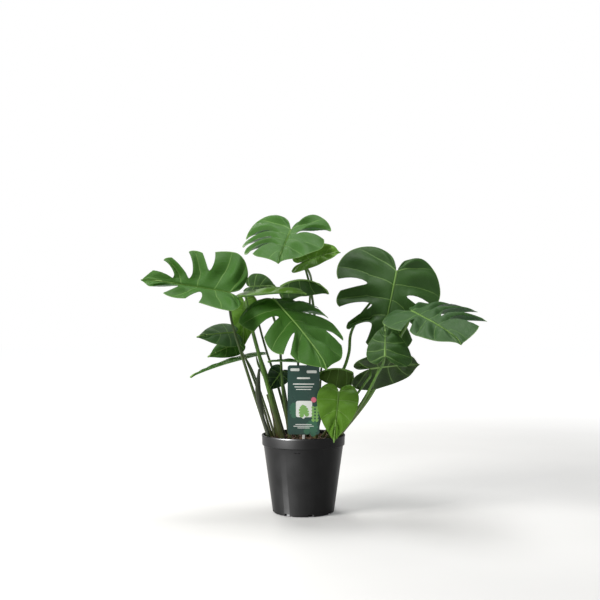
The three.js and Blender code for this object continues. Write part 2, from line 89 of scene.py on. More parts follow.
# One row for each leaf. way runs from the stalk to the tip, face is the way the upper side looks,
# and relief, 1 unless given, is how much of the ripple and puffed skin the leaf has. Each half has
# its fold at the midrib, its curl towards the margin, its width, how far its lobe reaches back and
# how much that lifts, and its slots, each as (place on the outline, how far from the midrib it
# starts, half its gap).
LEAVES = {
    "top": dict(
        outline=BROAD, way=(-23, -160, -77), face=(-0.05, -0.35, 0.94), droop=0.1, tone="mid",
        left=dict(
            fold=0.12, curl=1, lobe=0.3,
            slots=[(0.49, 0.4, 0.035), (0.62, 0.3, 0.026), (0.72, 0.35, 0.026)],
        ),
        right=dict(fold=0.15, curl=1, lobe=0.22, wide=0.85, slots=[(0.5, 0.2, 0.08)]),
    ),
    "crest": dict(
        outline=BROAD, way=(75, -40, 18), face=(0, -0.5, 0.87), droop=0.2, tone="fresh",
        left=dict(fold=-0.05, curl=0.5, wide=0.7, back=0.7),
        right=dict(fold=0.9, curl=0.2, wide=0.7, back=0.7),
    ),
    "left": dict(
        outline=BROAD, way=(-177, -15, 27), face=(0.117, -0.86, 0.478), droop=0.15, tone="mid",
        left=dict(
            curl=0.1, back=0.45,
            slots=[(0.57, 0.42, 0.035), (0.69, 0.2, 0.055), (0.81, 0.25, 0.055)],
        ),
        right=dict(fold=0.75, curl=0.1, back=0.3, slots=[(0.6, 0.4, 0.035), (0.76, 0.25, 0.055)]),
    ),
    "band": dict(
        outline=BROAD, way=(122, -40, 7), face=(0, -0.05, 1), droop=0.2, tone="fresh", relief=0.4,
        left=dict(fold=0.12, curl=0.2, wide=0.6, back=0.1),
        right=dict(fold=0.4, curl=0.3, wide=0.7, back=0.7),
    ),
    "front": dict(
        outline=BROAD, way=(107, -145, -131), face=(0.4, -0.44, 0.81), droop=0.25, tone="mid",
        left=dict(
            fold=-0.35, curl=2, wide=0.65, back=0.2,
            slots=[(0.57, 0.3, 0.035), (0.72, 0.35, 0.02)],
        ),
        right=dict(
            curl=0.2, back=0.1,
            slots=[(0.47, 0.6, 0.01), (0.56, 0.32, 0.035), (0.7, 0.55, 0.03)],
        ),
    ),
    "dome": dict(
        outline=BROAD, way=(100, -28, -14), face=(0, -0.1, 1), droop=1.5, tone="deep",
        left=dict(fold=-1, curl=0.4, wide=0.6, back=0.3),
        right=dict(fold=-0.4, curl=0.4, wide=0.3, back=0.3),
    ),
    "right": dict(
        outline=BROAD, way=(-46, -82, -181), face=(0, -1, 0.45), droop=0.45, tone="deep",
        left=dict(
            fold=0.05, curl=0.5, wide=1.1, back=0.9,
            slots=[(0.56, 0.45, 0.04), (0.69, 0.35, 0.05), (0.8, 0.45, 0.06)],
        ),
        right=dict(
            fold=-0.1, curl=1, wide=0.95, back=0.9,
            slots=[(0.58, 0.3, 0.04), (0.72, 0.4, 0.03)],
        ),
    ),
    "far": dict(
        outline=BROAD, way=(65, -200, -57), face=(0, -0.25, 0.97), droop=0.2, tone="glare_grey",
        left=dict(fold=-0.1, curl=1.5, wide=0.5, back=0.5, slots=[(0.6, 0.5, 0.03)]),
        right=dict(
            fold=0.2, curl=0.6, back=0.8,
            slots=[(0.5, 0.36, 0.045), (0.61, 0.22, 0.065), (0.73, 0.28, 0.065)],
        ),
    ),
    "shield": dict(
        outline=HEART, way=(7, 71, 60), face=(0, -0.6, 0.8), droop=0.3, tone="deep",
        left=dict(fold=-0.1, curl=1, wide=1.5),
        right=dict(fold=-0.1, curl=1, wide=0.95),
    ),
    "olive": dict(
        outline=BROAD, way=(100, 20, 9), face=(0, 0.8, 0.6), droop=0.2, tone="olive",
        left=dict(fold=-0.1, curl=0.4, wide=0.8),
        right=dict(fold=-0.1, curl=0.4, wide=0.8),
    ),
    "arch": dict(
        outline=BROAD, way=(-76, -13, -6), face=(0, -0.1, 1), droop=1.2, tone="olive", relief=0.2,
        left=dict(fold=-0.4, wide=0.9, back=0.3),
        right=dict(fold=-0.9, wide=0.9, back=0.3),
    ),
    "bright": dict(
        outline=HEART, way=(-11, -35, -93), face=(-0.1, -1, 0.1), droop=0.3, tone="fresh",
        left=dict(fold=0.25),
        right=dict(fold=0.25),
    ),
    "spear": dict(
        outline=HEART, way=(-134, -26, -40), face=(0, -0.1, 1), droop=0.2, tone="mid", relief=0,
        left=dict(fold=0.25, curl=0.3, wide=0.5),
        right=dict(fold=0.25, curl=0.3, wide=0.5),
    ),
    "silver": dict(
        outline=HEART, way=(-74, -30, -8), face=(0, -0.7, 0.7), droop=0.2, tone="glare_grey", relief=0.1,
        left=dict(wide=1.1),
        right=dict(wide=1.1),
    ),
    "under": dict(
        outline=HEART, way=(-60, -20, -28), face=(-0.3, -0.9, 0.4), droop=0.2, tone="mid", relief=0,
        left=dict(wide=0.9),
        right=dict(wide=0.9),
    ),
    "glow": dict(
        outline=HEART, way=(0, -18, -95), face=(-0.2, -1, 0.3), droop=0.3, tone="fresh", relief=0.1,
        left=dict(fold=0.2, wide=0.8),
        right=dict(fold=0.2, wide=0.8),
    ),
    "dark": dict(
        outline=HEART, way=(-28, -18, -40), face=(0, -1, 0.2), droop=0.3, tone="shade_teal",
        left=dict(fold=0.1, wide=1.1),
        right=dict(fold=0.1, wide=1.1),
    ),
    "sill": dict(
        outline=HEART, way=(-109, 20, 5), face=(0, -0.1, 1), droop=0.2, tone="mid", relief=0.2,
        left=dict(fold=0.2, wide=0.6),
        right=dict(fold=0.2, wide=0.6),
    ),
    "back": dict(
        outline=HEART, way=(59, -20, -1), face=(0, -0.4, 0.9), droop=0.2, tone="deep",
        left=dict(wide=1.1),
        right=dict(fold=0.9, wide=1.3),
    ),
}

# The colours of each leaf tone: the deep and pale parts of its upper side, and its lower side.
# Three of the tones have painted light and shade in them, as noted at each.
TONES = {
    "mid": dict(deep=(0.003, 0.04, 0.003), pale=(0.018, 0.15, 0.007), under=(0.05, 0.16, 0.016)),
    # A paler leaf green with painted backlight in it: the yellow-green of leaves lit from behind.
    "fresh": dict(deep=(0.018, 0.12, 0.004), pale=(0.08, 0.3, 0.01), under=(0.12, 0.28, 0.02)),
    "deep": dict(deep=(0.001, 0.018, 0.002), pale=(0.008, 0.075, 0.005), under=(0.03, 0.09, 0.012)),
    # Painted glare: a greyed green that stands in for the sheen on glossy leaves.
    "glare_grey": dict(deep=(0.006, 0.035, 0.008), pale=(0.02, 0.09, 0.016), under=(0.04, 0.11, 0.025)),
    "olive": dict(deep=(0.006, 0.022, 0.002), pale=(0.026, 0.07, 0.005), under=(0.06, 0.12, 0.012)),
    # Painted shade: a near-black green for a leaf that lies in shadow under the others.
    "shade_teal": dict(deep=(0.001, 0.01, 0.004), pale=(0.005, 0.03, 0.011), under=(0.015, 0.05, 0.015)),
}


def eased(x):
    """0 up to 0, 1 from 1 on, and a smooth rise between."""
    share = np.clip(x, 0, 1)
    return share * share * (3 - 2 * share)


def along_spline(points, share):
    """Places on the smooth line through points, for an array of shares of it."""
    points = np.array(points, float)
    last = len(points) - 1
    place = np.clip(share, 0, 1) * last
    k = np.minimum(place.astype(int), last - 1)
    t = (place - k)[..., None]
    before, start = points[np.maximum(k - 1, 0)], points[k]
    end, after = points[k + 1], points[np.minimum(k + 2, last)]
    leave, arrive = (end - before) / 2, (after - start) / 2
    cubic = (2 * start - 2 * end + leave + arrive) * t**3
    square = (-3 * start + 3 * end - 2 * leave - arrive) * t**2
    return cubic + square + leave * t + start


def half_of(leaf, side):
    """The left (side -1) or right (side 1) half of a leaf, with what its row leaves out."""
    given = leaf["left"] if side < 0 else leaf["right"]
    return {**dict(fold=0, curl=0.5, wide=1, back=1, lobe=0, slots=[]), **given}


def margin_places(half):
    """The finger borders round the margin, each slot moved to the border nearest to it."""
    ends = [0, *BORDERS, 1]
    slots = {}
    for at, start, gap in half["slots"]:
        free = [k for k in range(1, FINGERS) if k not in slots]
        nearest = min(free, key=lambda k: abs(BORDERS[k - 1] - at))
        slots[nearest] = (start, gap)
        ends[nearest] = at
    return ends, slots


def rib_root(s):
    """How far along the midrib the rib that ends at s on the outline begins."""
    return LAST_RIB * np.clip((s - 0.3) / 0.7, 0, None) ** 1.1


def flat_place(leaf, half, s, t):
    """The flat place of a half leaf's points: s runs round the outline, t from midrib to margin."""
    margin = along_spline(leaf["outline"], s) * (half["wide"], 1)
    margin[..., 1] *= np.where(margin[..., 1] < 0, half["back"], 1)
    rise = rib_root(s)
    foot = np.stack([np.zeros_like(rise), rise], -1)
    run = margin - foot
    bow = 0.13 * (2 * eased(s / 0.45) - 1) * (1 - eased((s - 0.8) / 0.2))
    middle = foot + run / 2 + np.stack([run[..., 1] * bow, -run[..., 0] * bow], -1)
    t = t[..., None]
    return (1 - t) ** 2 * foot + 2 * t * (1 - t) * middle + t**2 * margin


def slot_opening(slot, t):
    """Half the gap of a slot at t, on the outline's scale."""
    if not slot:
        return np.zeros_like(t)
    start, gap = slot
    share = np.clip((t - start) / (1 - start), 0, None)
    return gap * np.sqrt(share) * (1 - 0.25 * share)


def leaf_axes(leaf):
    """Along the midrib, out of the upper side, to the right, and the midrib's length, for a leaf
    whose stalk is at the origin."""
    chord = Vector(leaf["way"])
    span = chord.length
    chord.normalize()
    face = Vector(leaf["face"])
    face = (face - chord * face.dot(chord)).normalized()
    half = leaf["droop"] / 2
    along = chord * math.cos(half) + face * math.sin(half)
    out = face * math.cos(half) - chord * math.sin(half)
    return np.array(along), np.array(out), np.array(out.cross(along)), span * half / math.sin(half)


def finger_points(leaf, side, finger, across, t, relief):
    """Places of one finger's points, and their ribs: distance to the rib, distance to the midrib,
    distance along the rib, and the flat place. relief adds the ribs' grooves and the ripple."""
    half = half_of(leaf, side)
    ends, slots = margin_places(half)
    places = [0, *BORDERS, 1]
    reach = eased(t / SETTLED)
    before, after = slots.get(finger), slots.get(finger + 1)
    low, high = (
        places[border] + (ends[border] - places[border]) * reach for border in (finger, finger + 1)
    )
    low, high = low + slot_opening(before, t), high - slot_opening(after, t)
    s = low + (high - low) * across
    trim = np.zeros_like(t)
    if before:
        trim += 0.1 * (1 - across) ** 3 * eased((t - before[0]) / (1 - before[0]))
    if after:
        trim += 0.05 * across**4 * eased((t - after[0]) / (1 - after[0]))
    out_to = t * (1 - trim)
    flat = flat_place(leaf, half, s, out_to)
    along, out, right, length = leaf_axes(leaf)
    fold, curl = half["fold"], half["curl"]
    x, y = flat[..., 0], flat[..., 1]
    sideways = (np.sin(fold) - np.sin(fold - curl * x)) / curl
    height = (np.cos(fold - curl * x) - np.cos(fold)) / curl
    away = eased(np.hypot(x, y) / 0.3)
    height -= SKIN_WAVE * away * np.cos(2 * np.pi * (across - 0.5)) * np.sin(np.pi * out_to)
    height -= 0.08 * away * np.clip(out_to - 0.45, 0, None) ** 2
    height += half["lobe"] * np.clip(-y, 0, None)
    width = np.hypot(*(flat_place(leaf, half, high, t) - flat_place(leaf, half, low, t)).T).T
    rib = np.abs(across - 0.5) * width + 0.012 * np.clip(1 - width / 0.04, 0, 1) * eased(t / 0.3)
    midrib = np.hypot(x, np.clip(-y, 0, None))
    along_rib = np.hypot(x, y - rib_root(s))
    if relief is not None:
        height += relief(leaf, side, finger, s, out_to, across, rib, midrib, flat, away)
    turn = leaf["droop"] * y
    forward = np.sin(turn) / leaf["droop"] + height * np.sin(turn)
    rise = (np.cos(turn) - 1) / leaf["droop"] + height * np.cos(turn)
    place = (
        right * (side * sideways)[..., None] + along * forward[..., None] + out * rise[..., None]
    ) * length
    return place, rib * length, midrib * length, along_rib * length, flat


def leaf_fit(name):
    """(scale, shift) from the leaf's own unit to the frame, found from its node's box."""
    leaf = LEAVES[name]
    slotted = half_of(leaf, -1)["slots"] or half_of(leaf, 1)["slots"]
    rows, columns = (COARSE_ROWS, 2) if slotted else (COARSE_ROWS - 1, 1)
    steps = (np.linspace(0, 1, count + 1) for count in (rows, columns))
    t, across = np.meshgrid(*steps, indexing="ij")
    found = [
        finger_points(leaf, side, finger, across, t, None)[0].reshape(-1, 3)
        for side in (-1, 1)
        for finger in range(FINGERS)
    ]
    found = np.concatenate(found)
    low, high = found.min(0), found.max(0)
    lo, hi = (np.array(corner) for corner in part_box("leaf_" + name))
    longest = int(np.argmax(high - low))
    scale = (hi - lo)[longest] / (high - low)[longest]
    return scale, (lo + hi) / 2 - scale * (low + high) / 2


# ---------------------------------------------------------------- helpers

def as_mesh(name, bm):
    """A mesh from a bmesh, which is freed."""
    mesh = bpy.data.meshes.new(name)
    bm.to_mesh(mesh)
    bm.free()
    return mesh


def placed(name, data):
    """A new object in the scene."""
    made = bpy.data.objects.new(name, data)
    bpy.context.scene.collection.objects.link(made)
    return made


def finish_piece(name, mesh, materials, slot_name, *nodes, sharp=40):
    """Makes a mesh a smooth-shaded piece that rides on the plant and stands for its nodes. Without
    materials, it keeps those that its mesh has. Edges over sharp degrees stay sharp."""
    mesh.shade_smooth()
    mesh.set_sharp_from_angle(angle=math.radians(sharp))
    if materials:
        mesh.materials.clear()
        for material in materials:
            mesh.materials.append(material)
    piece = placed(name, mesh)
    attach(piece, "root")
    if nodes:
        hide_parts(*nodes)


def applied(carrier, name, kind=None, **settings):
    """The mesh of an object after a modifier of a kind with settings. The object is removed."""
    if kind:
        modifier = carrier.modifiers.new(kind, kind)
        for key, value in settings.items():
            setattr(modifier, key, value)
    bpy.context.view_layer.update()
    graph = bpy.context.evaluated_depsgraph_get()
    made = bpy.data.meshes.new_from_object(
        carrier.evaluated_get(graph), preserve_all_data_layers=True, depsgraph=graph
    )
    bpy.data.objects.remove(carrier)
    made.name = name
    return made


def turned(profile, steps):
    """A bmesh turned round the Z axis from (radius, height) pairs."""
    bm = bmesh.new()
    verts = [bm.verts.new((r, 0, z)) for r, z in profile]
    edges = [bm.edges.new(pair) for pair in zip(verts, verts[1:])]
    bmesh.ops.spin(
        bm, geom=verts + edges, cent=(0, 0, 0), axis=(0, 0, 1), angle=FULL_TURN, steps=steps,
        use_merge=True, use_duplicate=False,
    )
    bmesh.ops.remove_doubles(bm, verts=bm.verts, dist=MERGE)
    return bm


def add_block(bm, place, size, corner, segments):
    """Adds a block with rounded edges to a bmesh."""
    made = bmesh.ops.create_cube(bm, size=1, matrix=place @ Matrix.Diagonal((*size, 1)))
    edges = list({e for v in made["verts"] for e in v.link_edges})
    bmesh.ops.bevel(
        bm, geom=edges, offset=corner, offset_type="OFFSET", segments=segments, profile=0.5,
        affect="EDGES", material=-1,
    )


def centre_line(node):
    """The centre and radius of each ring of a tube-shaped node, from its lower end to its upper."""
    bm = bmesh.new()
    bm.from_mesh(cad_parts[node].data)
    bmesh.ops.remove_doubles(bm, verts=bm.verts, dist=MERGE)
    # The middle of the lower cap is its lowest vertex, or among equals the one with most edges.
    first = min(bm.verts, key=lambda v: (round(v.co.z, 5), -len(v.link_edges)))
    layer, seen, rings = [first], {first}, []
    while layer:
        rings.append([v.co.copy() for v in layer])
        following = {e.other_vert(v) for v in layer for e in v.link_edges} - seen
        seen |= following
        # In a fixed order, so that every run adds the ring up alike.
        layer = sorted(following, key=lambda v: tuple(v.co))
    bm.free()
    line = []
    for ring in rings[1:-1]:
        centre = sum(ring, Vector()) / len(ring)
        line.append((centre, sum((p - centre).length for p in ring) / len(ring)))
    return line


def tube(name, line, steps, sides=7, reach=0.0):
    """A bmesh of a round tube through (centre, radius) pairs, drawn out by reach at its end."""
    if reach:
        way = (line[-1][0] - line[-2][0]).normalized()
        line = line + [(line[-1][0] + way * reach, line[-1][1])]
    data = np.array([[*centre, radius] for centre, radius in line])
    smooth = along_spline(data, np.linspace(0, 1, steps + 1))
    curve = bpy.data.curves.new(name, "CURVE")
    curve.dimensions = "3D"
    curve.bevel_depth = 1.0
    curve.bevel_resolution = sides
    curve.use_fill_caps = True
    curve.twist_mode = "MINIMUM"
    spline = curve.splines.new("POLY")
    spline.points.add(steps)
    for point, (x, y, z, radius) in zip(spline.points, smooth):
        point.co = (x, y, z, 1)
        point.radius = radius
    raw = applied(placed(name, curve), name + "_raw")
    bm = bmesh.new()
    bm.from_mesh(raw)
    bpy.data.meshes.remove(raw)
    bmesh.ops.remove_doubles(bm, verts=bm.verts, dist=MERGE)
    bmesh.ops.recalc_face_normals(bm, faces=bm.faces)
    return bm


# ---------------------------------------------------------------- finishes

class Finish:
    """A material under construction, and the nodes that it is made of."""

    def __init__(self, name):
        self.material = bpy.data.materials.new(name)
        self.material.use_nodes = True
        self.tree = self.material.node_tree
        self.tree.nodes.clear()
        self.end = self.tree.nodes.new("ShaderNodeOutputMaterial")

    def node(self, kind, inputs=None, **settings):
        made = self.tree.nodes.new("ShaderNode" + kind)
        for key, value in settings.items():
            setattr(made, key, value)
        for key, value in (inputs or {}).items():
            socket = made.inputs[key]
            if isinstance(value, bpy.types.NodeSocket):
                self.tree.links.new(value, socket)
            else:
                socket.default_value = value
        return made

    def math(self, operation, *values, clamp=False):
        inputs = dict(enumerate(values))
        return self.node("Math", inputs, operation=operation, use_clamp=clamp).outputs[0]

    def smooth(self, value, low, high, start=0.0, end=1.0):
        inputs = {"Value": value, "From Min": low, "From Max": high, "To Min": start, "To Max": end}
        return self.node("MapRange", inputs, interpolation_type="SMOOTHSTEP").outputs[0]

    def mix(self, share, low, high, blend="MIX"):
        inputs = {0: share, 6: self.colour(low), 7: self.colour(high)}
        return self.node("Mix", inputs, data_type="RGBA", blend_type=blend).outputs[2]

    @staticmethod
    def colour(value):
        return (*value, 1) if isinstance(value, (tuple, list)) and len(value) == 3 else value

    def noise(self, scale, detail=3.0, roughness=0.55, vector=None):
        inputs = {"Scale": scale, "Detail": detail, "Roughness": roughness}
        inputs["Vector"] = vector or self.place()
        return self.node("TexNoise", inputs).outputs["Fac"]

    def place(self):
        return self.node("TexCoord").outputs["Object"]

    def stretched(self, x, y, z):
        return self.node("Mapping", {"Vector": self.place(), "Scale": (x, y, z)}).outputs[0]

    def attribute(self, name):
        found = self.node("Attribute", attribute_name=name, attribute_type="GEOMETRY")
        return self.node("SeparateXYZ", {0: found.outputs["Vector"]}).outputs

    def bump(self, height, distance, strength=1.0):
        inputs = {"Height": height, "Distance": distance, "Strength": strength}
        return self.node("Bump", inputs).outputs[0]

    def surface(self, **inputs):
        named = {key.replace("_", " "): self.colour(value) for key, value in inputs.items()}
        return self.node("BsdfPrincipled", named).outputs[0]

    def done(self, shader):
        self.tree.links.new(shader, self.end.inputs["Surface"])
        return self.material


def leaf_finish(name, tone, lower):
    """The skin of a leaf: paler ribs, a fine net between them, and light that comes through. The
    distances to the ribs are in millimetres, and t runs from 0 at the midrib to 1 at the margin."""
    colours = bpy.context.scene.plant_colours
    f = Finish(name)
    rib, midrib, along = f.attribute("rib")
    _, y, t = f.attribute("place")
    wander = f.noise(55, 2, 0.5)
    line = f.smooth(rib, 0.45, 1.1, 1, 0)
    line = f.math("MULTIPLY", line, f.smooth(t, 0.75, 1.0, 1.0, 0.3))
    spine_width = f.smooth(y, 0.0, 1.0, 2.1, 0.5)
    spine = f.smooth(f.math("SUBTRACT", midrib, spine_width), -0.5, 0.35, 1, 0)
    slant = f.math("ADD", along, f.math("MULTIPLY", rib, 0.75))
    slant = f.math("ADD", slant, f.math("MULTIPLY", wander, 9.0))
    side_line = f.smooth(f.math("PINGPONG", slant, 3.6), 0.12, 0.75, 1, 0)
    net = f.node(
        "TexVoronoi", {"Vector": f.place(), "Scale": 420.0}, feature="DISTANCE_TO_EDGE"
    ).outputs["Distance"]
    net = f.smooth(net, 0.0, 0.09, 1, 0)
    blotch = f.noise(26, 4, 0.6)
    fine = f.noise(210, 3, 0.6)
    if lower:
        base = f.mix(blotch, tone["under"], [0.8 * c for c in tone["under"]])
        base = f.mix(f.math("MULTIPLY", side_line, 0.3), base, [1.35 * c for c in tone["under"]])
        base = f.mix(f.math("MULTIPLY", net, 0.12), base, [1.5 * c for c in tone["under"]])
    else:
        base = f.mix(f.smooth(blotch, 0.3, 0.72), tone["deep"], tone["pale"])
        base = f.mix(f.math("MULTIPLY", f.smooth(rib, 0.0, 9.0, 1, 0), 0.6), base, tone["pale"])
        base = f.mix(f.math("MULTIPLY", side_line, 0.22), base, [1.5 * c for c in tone["pale"]])
        base = f.mix(f.math("MULTIPLY", net, 0.1), base, [1.6 * c for c in tone["pale"]])
        base = f.mix(f.smooth(fine, 0.55, 0.8, 0, 0.25), base, [0.55 * c for c in tone["deep"]])
    pale_rib = tuple(colours.leaf_rib)
    rib_share = f.math("MULTIPLY", line, 0.55 if lower else 0.42)
    base = f.mix(rib_share, base, pale_rib)
    base = f.mix(f.math("MULTIPLY", spine, 0.85), base, pale_rib)
    edge = f.smooth(t, 0.975, 0.995)
    base = f.mix(f.math("MULTIPLY", edge, 0.5), base, pale_rib)
    height = f.math("MULTIPLY", line, -0.8)
    height = f.math("ADD", height, f.math("MULTIPLY", side_line, -0.35))
    height = f.math("ADD", height, f.math("MULTIPLY", net, -0.1))
    height = f.math("ADD", height, f.math("MULTIPLY", fine, 0.12))
    # The ribs sink into the upper side and stand out of the lower one.
    normal = f.bump(height, -0.0008 if lower else 0.0006, 0.8)
    sheen, dullest = (0.5, 0.62) if lower else (0.3, 0.42)
    rough = f.smooth(f.noise(90, 3, 0.6), 0.2, 0.8, sheen, dullest)
    body = f.surface(
        Base_Color=base, Roughness=rough, Normal=normal, Specular_IOR_Level=0.26,
        Coat_Weight=0.0 if lower else 0.18, Coat_Roughness=0.2,
    )
    through = f.node(
        "BsdfTranslucent", {"Color": f.mix(0.5, base, tuple(colours.leaf_light)), "Normal": normal}
    ).outputs[0]
    mixed = f.node("MixShader", {0: 0.24, 1: body, 2: through}).outputs[0]
    return f.done(mixed)


def stalk_finish(name, shade):
    """The skin of a stalk. shade runs from 0, fresh green, to 1, dark and brownish."""
    colours = bpy.context.scene.plant_colours
    f = Finish(name)
    height = f.node("SeparateXYZ", {0: f.place()}).outputs[2]
    streak = f.noise(1.0, 4, 0.6, vector=f.stretched(420, 420, 22))
    speck = f.noise(900, 2, 0.5)
    deep, pale = tuple(colours.stalk_deep), tuple(colours.stalk_pale)
    base = f.mix(f.smooth(streak, 0.25, 0.75), deep, pale)
    uneven = f.math("ADD", height, f.math("MULTIPLY", streak, 0.05))
    low = f.smooth(uneven, 0.17, 0.29, 0.75, 0.0)
    base = f.mix(low, base, tuple(colours.stalk_foot))
    base = f.mix(0.8 * shade, base, f.mix(streak, (0.012, 0.03, 0.008), (0.06, 0.06, 0.02)))
    base = f.mix(f.smooth(speck, 0.62, 0.75, 0, 0.35), base, (0.03, 0.035, 0.012))
    normal = f.bump(f.math("ADD", streak, f.math("MULTIPLY", speck, 0.3)), 0.0004, 0.6)
    rough = f.smooth(streak, 0.2, 0.8, 0.34, 0.52)
    return f.done(f.surface(Base_Color=base, Roughness=rough, Normal=normal))


def husk_finish():
    """Dry sheath round the base of the plant."""
    f = Finish("husk_skin")
    streak = f.noise(1.0, 5, 0.65, vector=f.stretched(600, 600, 30))
    patch = f.noise(40, 4, 0.6)
    base = f.mix(f.smooth(streak, 0.3, 0.7), (0.05, 0.035, 0.012), (0.2, 0.16, 0.06))
    base = f.mix(f.smooth(patch, 0.45, 0.62, 0, 0.7), base, (0.1, 0.17, 0.03))
    rough = f.smooth(patch, 0.3, 0.7, 0.45, 0.7)
    return f.done(f.surface(Base_Color=base, Roughness=rough, Normal=f.bump(streak, 0.0012, 0.9)))


def rolled_finish():
    """Dark, streaky skin of the rolled leaf."""
    f = Finish("rolled_leaf_skin")
    streak = f.noise(1.0, 4, 0.6, vector=f.stretched(500, 500, 25))
    base = f.mix(f.smooth(streak, 0.3, 0.7), (0.008, 0.014, 0.008), (0.04, 0.055, 0.02))
    return f.done(f.surface(Base_Color=base, Roughness=0.42, Normal=f.bump(streak, 0.0008, 0.8)))


def pot_finish():
    """Black plastic, a little cloudy, grained and dusty."""
    black = tuple(bpy.context.scene.plant_colours.pot)
    f = Finish("pot_plastic")
    grain = f.noise(1700, 2, 0.6)
    cloud = f.noise(18, 4, 0.6)
    scratch = f.noise(1.0, 3, 0.7, vector=f.stretched(60, 60, 900))
    base = f.mix(f.smooth(cloud, 0.3, 0.75, 0, 0.5), black, [1.9 * c for c in black])
    dust = f.noise(240, 4, 0.7)
    base = f.mix(f.smooth(dust, 0.6, 0.85, 0, 0.03), base, (0.2, 0.17, 0.14))
    rough = f.smooth(cloud, 0.2, 0.8, 0.36, 0.44)
    normal = f.bump(f.math("ADD", grain, f.math("MULTIPLY", scratch, 0.5)), 0.00002, 0.6)
    body = f.surface(Base_Color=base, Roughness=rough, Normal=normal, Specular_IOR_Level=0.13)
    return f.done(body)


def soil_finish(name, low, high, bump):
    """Crumbly earth or bark between two colours, with lumps bump metres deep."""
    f = Finish(name)
    lump = f.noise(120, 6, 0.7)
    crumb = f.noise(700, 5, 0.7)
    base = f.mix(f.smooth(lump, 0.3, 0.7), low, high)
    base = f.mix(f.smooth(crumb, 0.5, 0.7, 0, 0.6), base, [0.35 * c for c in low])
    normal = f.bump(f.math("ADD", lump, f.math("MULTIPLY", crumb, 0.6)), bump, 1.0)
    rough = f.smooth(crumb, 0.2, 0.8, 0.75, 0.98)
    return f.done(f.surface(Base_Color=base, Roughness=rough, Normal=normal))


def print_finish(name, colour, rough=0.35, speckle=0.06):
    """Printed card or plain plastic of one colour, with a faint grain."""
    f = Finish(name)
    grain = f.noise(1500, 2, 0.5)
    cloud = f.noise(45, 3, 0.6)
    base = f.mix(f.smooth(grain, 0.3, 0.7, 0, speckle), colour, [0.7 * c for c in colour])
    base = f.mix(f.smooth(cloud, 0.3, 0.8, 0, 0.12), base, [0.8 * c for c in colour])
    shine = f.smooth(cloud, 0.2, 0.8, rough - 0.05, rough + 0.08)
    return f.done(f.surface(Base_Color=base, Roughness=shine, Normal=f.bump(grain, 0.00004, 0.4)))


def floor_finish():
    """Pale floor that lightens into the white backdrop with distance from the plant."""
    f = Finish("floor_paint")
    cloud = f.noise(3, 3, 0.5)
    base = f.mix(f.smooth(cloud, 0.2, 0.8, 0, 0.5), (0.6, 0.596, 0.586), (0.65, 0.645, 0.635))
    reach = f.node("VectorMath", {0: f.place()}, operation="LENGTH").outputs["Value"]
    # The floor glows with painted light: faintly next to the plant, and nearly as bright as the
    # backdrop far off.
    glow = f.smooth(reach, 0.8, 3.2, 0.12, 0.86)
    body = f.surface(
        Base_Color=base, Roughness=0.6, Emission_Color=(1, 1, 1), Emission_Strength=glow
    )
    return f.done(body)


# ---------------------------------------------------------------- settings

class PlantSizes(bpy.types.PropertyGroup):
    """Sizes that a user would change."""

    leaf_thickness: FloatProperty(
        name="Leaf thickness", description="Thickness of a leaf between its ribs",
        default=0.0006, min=0.0002, max=0.003, precision=4, unit="LENGTH",
    )
    rib_thickness: FloatProperty(
        name="Midrib thickness", description="Thickness of a leaf at its midrib, next to the stalk",
        default=0.0034, min=0.0005, max=0.008, precision=4, unit="LENGTH",
    )
    leaf_rows: IntProperty(
        name="Leaf rows", description="Rows of faces from midrib to margin", default=42, min=8,
        max=80,
    )
    leaf_columns: IntProperty(
        name="Leaf columns", description="Columns of faces across one finger", default=15, min=4,
        max=40,
    )
    pot_wall: FloatProperty(
        name="Pot wall", description="Thickness of the pot's wall", default=0.0018, min=0.0008,
        max=0.005, precision=4, unit="LENGTH",
    )
    pot_band: FloatProperty(
        name="Pot band", description="Height of the band under the rim", default=0.021, min=0.005,
        max=0.05, precision=4, unit="LENGTH",
    )
    pot_step: FloatProperty(
        name="Pot band step", description="How far the band stands out", default=0.003, min=0.001,
        max=0.008, precision=4, unit="LENGTH",
    )
    pot_flare: FloatProperty(
        name="Pot rim flare", description="How much the band widens towards the rim", default=0.001,
        min=0.0, max=0.004, precision=4, unit="LENGTH",
    )
    pot_foot: FloatProperty(
        name="Pot foot radius", description="Radius of the pot at its foot", default=0.0625,
        min=0.03, max=0.08, precision=4, unit="LENGTH",
    )
    pot_floor: FloatProperty(
        name="Pot floor", description="Thickness of the pot's floor", default=0.003, min=0.001,
        max=0.01, precision=4, unit="LENGTH",
    )
    chip_count: IntProperty(
        name="Bark chips", description="Bark chips on the soil", default=190, min=0, max=600,
    )


class PlantColours(bpy.types.PropertyGroup):
    """Colours that a user would change."""

    leaf_rib: FloatVectorProperty(
        name="Leaf rib", description="Colour of the ribs", subtype="COLOR", size=3, min=0, max=1,
        default=(0.27, 0.46, 0.12),
    )
    leaf_light: FloatVectorProperty(
        name="Light through leaf", description="Colour of light that comes through a leaf",
        subtype="COLOR", size=3, min=0, max=1, default=(0.3, 0.5, 0.02),
    )
    stalk_pale: FloatVectorProperty(
        name="Stalk, pale", description="Pale streaks of a stalk", subtype="COLOR", size=3, min=0,
        max=1, default=(0.13, 0.27, 0.03),
    )
    stalk_deep: FloatVectorProperty(
        name="Stalk, deep", description="Deep streaks of a stalk", subtype="COLOR", size=3, min=0,
        max=1, default=(0.035, 0.11, 0.012),
    )
    stalk_foot: FloatVectorProperty(
        name="Stalk, foot", description="Colour of a stalk next to the soil", subtype="COLOR",
        size=3, min=0, max=1, default=(0.09, 0.07, 0.025),
    )
    pot: FloatVectorProperty(
        name="Pot", description="Colour of the pot's plastic", subtype="COLOR", size=3, min=0,
        max=1, default=(0.0018, 0.0018, 0.0021),
    )
    card: FloatVectorProperty(
        name="Card", description="Ground colour of the label", subtype="COLOR", size=3, min=0,
        max=1, default=(0.012, 0.055, 0.04),
    )


# ---------------------------------------------------------------- leaves

